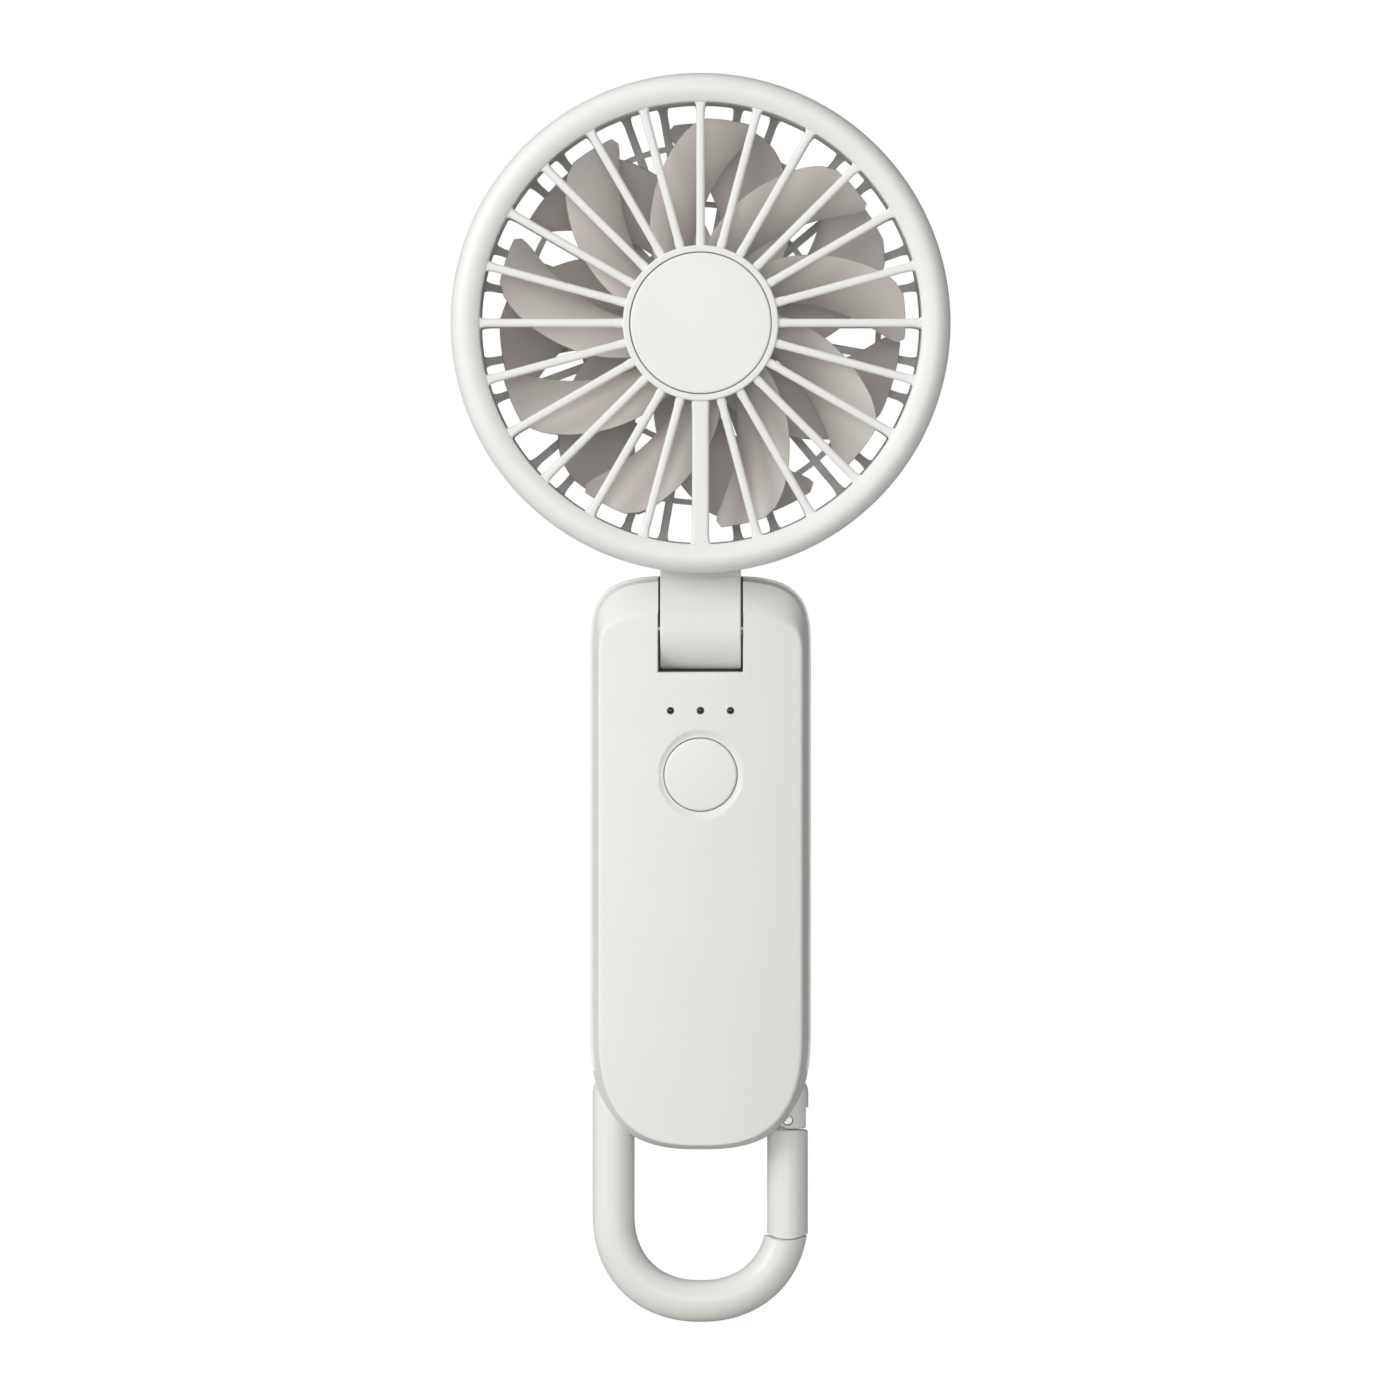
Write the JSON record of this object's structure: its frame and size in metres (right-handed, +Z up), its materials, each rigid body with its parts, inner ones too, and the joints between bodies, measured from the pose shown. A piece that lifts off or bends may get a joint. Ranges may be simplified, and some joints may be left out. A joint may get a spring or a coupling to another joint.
{
  "type": "handheld electric fan",
  "caption": "Pocket electric fan with a round guarded head that folds on a flat rounded handle, two counter-turning rotors, a round power button and a swinging snap clip.",
  "frame": {"origin": "middle of the handle's grip, halfway through its width, depth and length", "axes": "+Z up along the handle to the head, -Y the side the air blows from, +X to the right seen from the front"},
  "size_m": [0.088, 0.034, 0.2208],
  "materials": {
    "shell_plastic": "fine matte spark texture, warm off-white",
    "guard_plastic": "fine matte, warm off-white",
    "cap_plastic": "fine matte, warm off-white",
    "blade_plastic": "satin warm light grey",
    "button_plastic": "satin off-white",
    "clip_plastic": "soft gloss off-white",
    "lamp_lens": "dark smoked lens",
    "led_body": "moulded lamp body",
    "steel": "bright zinc-plated",
    "bronze": "sintered bronze",
    "magnet_ferrite": "bonded ferrite",
    "nylon": "natural nylon",
    "board_laminate": "green solder mask",
    "chip_resin": "black moulding resin",
    "cell_wrap": "silver-grey pouch film",
    "foam": "closed-cell foam",
    "red_wire": "wire insulation",
    "black_wire": "wire insulation"
  },
  "bodies": {
    "handle": {"front_shell": "shell_plastic", "rear_shell": "shell_plastic", "shell_screw_1": "steel", "shell_screw_2": "steel", "shell_screw_3": "steel", "shell_screw_4": "steel", "button_switch": "chip_resin", "circuit_board": "board_laminate", "control_chip": "chip_resin", "charge_chip": "chip_resin", "power_inductor": "chip_resin", "led_1": "led_body", "led_2": "led_body", "led_3": "led_body", "led_window_1": "lamp_lens", "led_window_2": "lamp_lens", "led_window_3": "lamp_lens", "usb_socket": "steel", "battery_cell": "cell_wrap", "battery_pad": "foam", "battery_lead_red": "red_wire", "battery_lead_black": "black_wire", "hinge_pin": "steel"},
    "head": {"head_duct": "shell_plastic", "front_guard": "guard_plastic", "rear_guard": "guard_plastic", "front_hub_cap": "cap_plastic", "rear_hub_cap": "cap_plastic", "hinge_friction_ring_left": "nylon", "hinge_friction_ring_right": "nylon", "front_motor_board": "board_laminate", "front_stator": "steel", "front_bush": "bronze", "front_motor_lead": "black_wire", "rear_motor_board": "board_laminate", "rear_stator": "steel", "rear_bush": "bronze", "rear_motor_lead": "black_wire"},
    "front_rotor": {"front_rotor": "blade_plastic", "front_magnet_ring": "magnet_ferrite", "front_shaft": "steel", "front_shaft_ring": "steel"},
    "rear_rotor": {"rear_rotor": "blade_plastic", "rear_magnet_ring": "magnet_ferrite", "rear_shaft": "steel", "rear_shaft_ring": "steel"},
    "power_button": {"power_button": "button_plastic"},
    "clip": {"clip_frame": "clip_plastic", "gate_pin": "steel", "gate_spring": "steel"},
    "clip_gate": {"clip_gate": "clip_plastic"}
  },
  "joints": [
    {"name": "head_fold", "type": "hinge", "parent": "handle", "child": "head", "pos_m": [0, -0.0041, 0.0412], "axis": [1, 0, 0], "range_deg": [0, 90]},
    {"name": "front_rotor_spin", "type": "hinge", "parent": "head", "child": "front_rotor", "pos_m": [0, -0.006, 0.0953], "axis": [0, 1, 0], "continuous": true},
    {"name": "rear_rotor_spin", "type": "hinge", "parent": "head", "child": "rear_rotor", "pos_m": [0, 0.006, 0.0953], "axis": [0, -1, 0], "continuous": true},
    {"name": "power_button_press", "type": "slide", "parent": "handle", "child": "power_button", "axis": [0, 1, 0], "range_m": [0, 0.0005], "stiffness_N_per_m": 1000, "springref_m": -0.001},
    {"name": "clip_swing", "type": "hinge", "parent": "handle", "child": "clip", "pos_m": [0, -0.00015, -0.041], "axis": [1, 0, 0], "range_deg": [0, 90]},
    {"name": "clip_gate_open", "type": "hinge", "parent": "clip", "child": "clip_gate", "pos_m": [0.0154, -0.00015, -0.0456], "axis": [0, 1, 0], "range_deg": [0, 24], "stiffness_Nm_per_rad": 0.02, "springref_deg": -17.19}
  ]
}
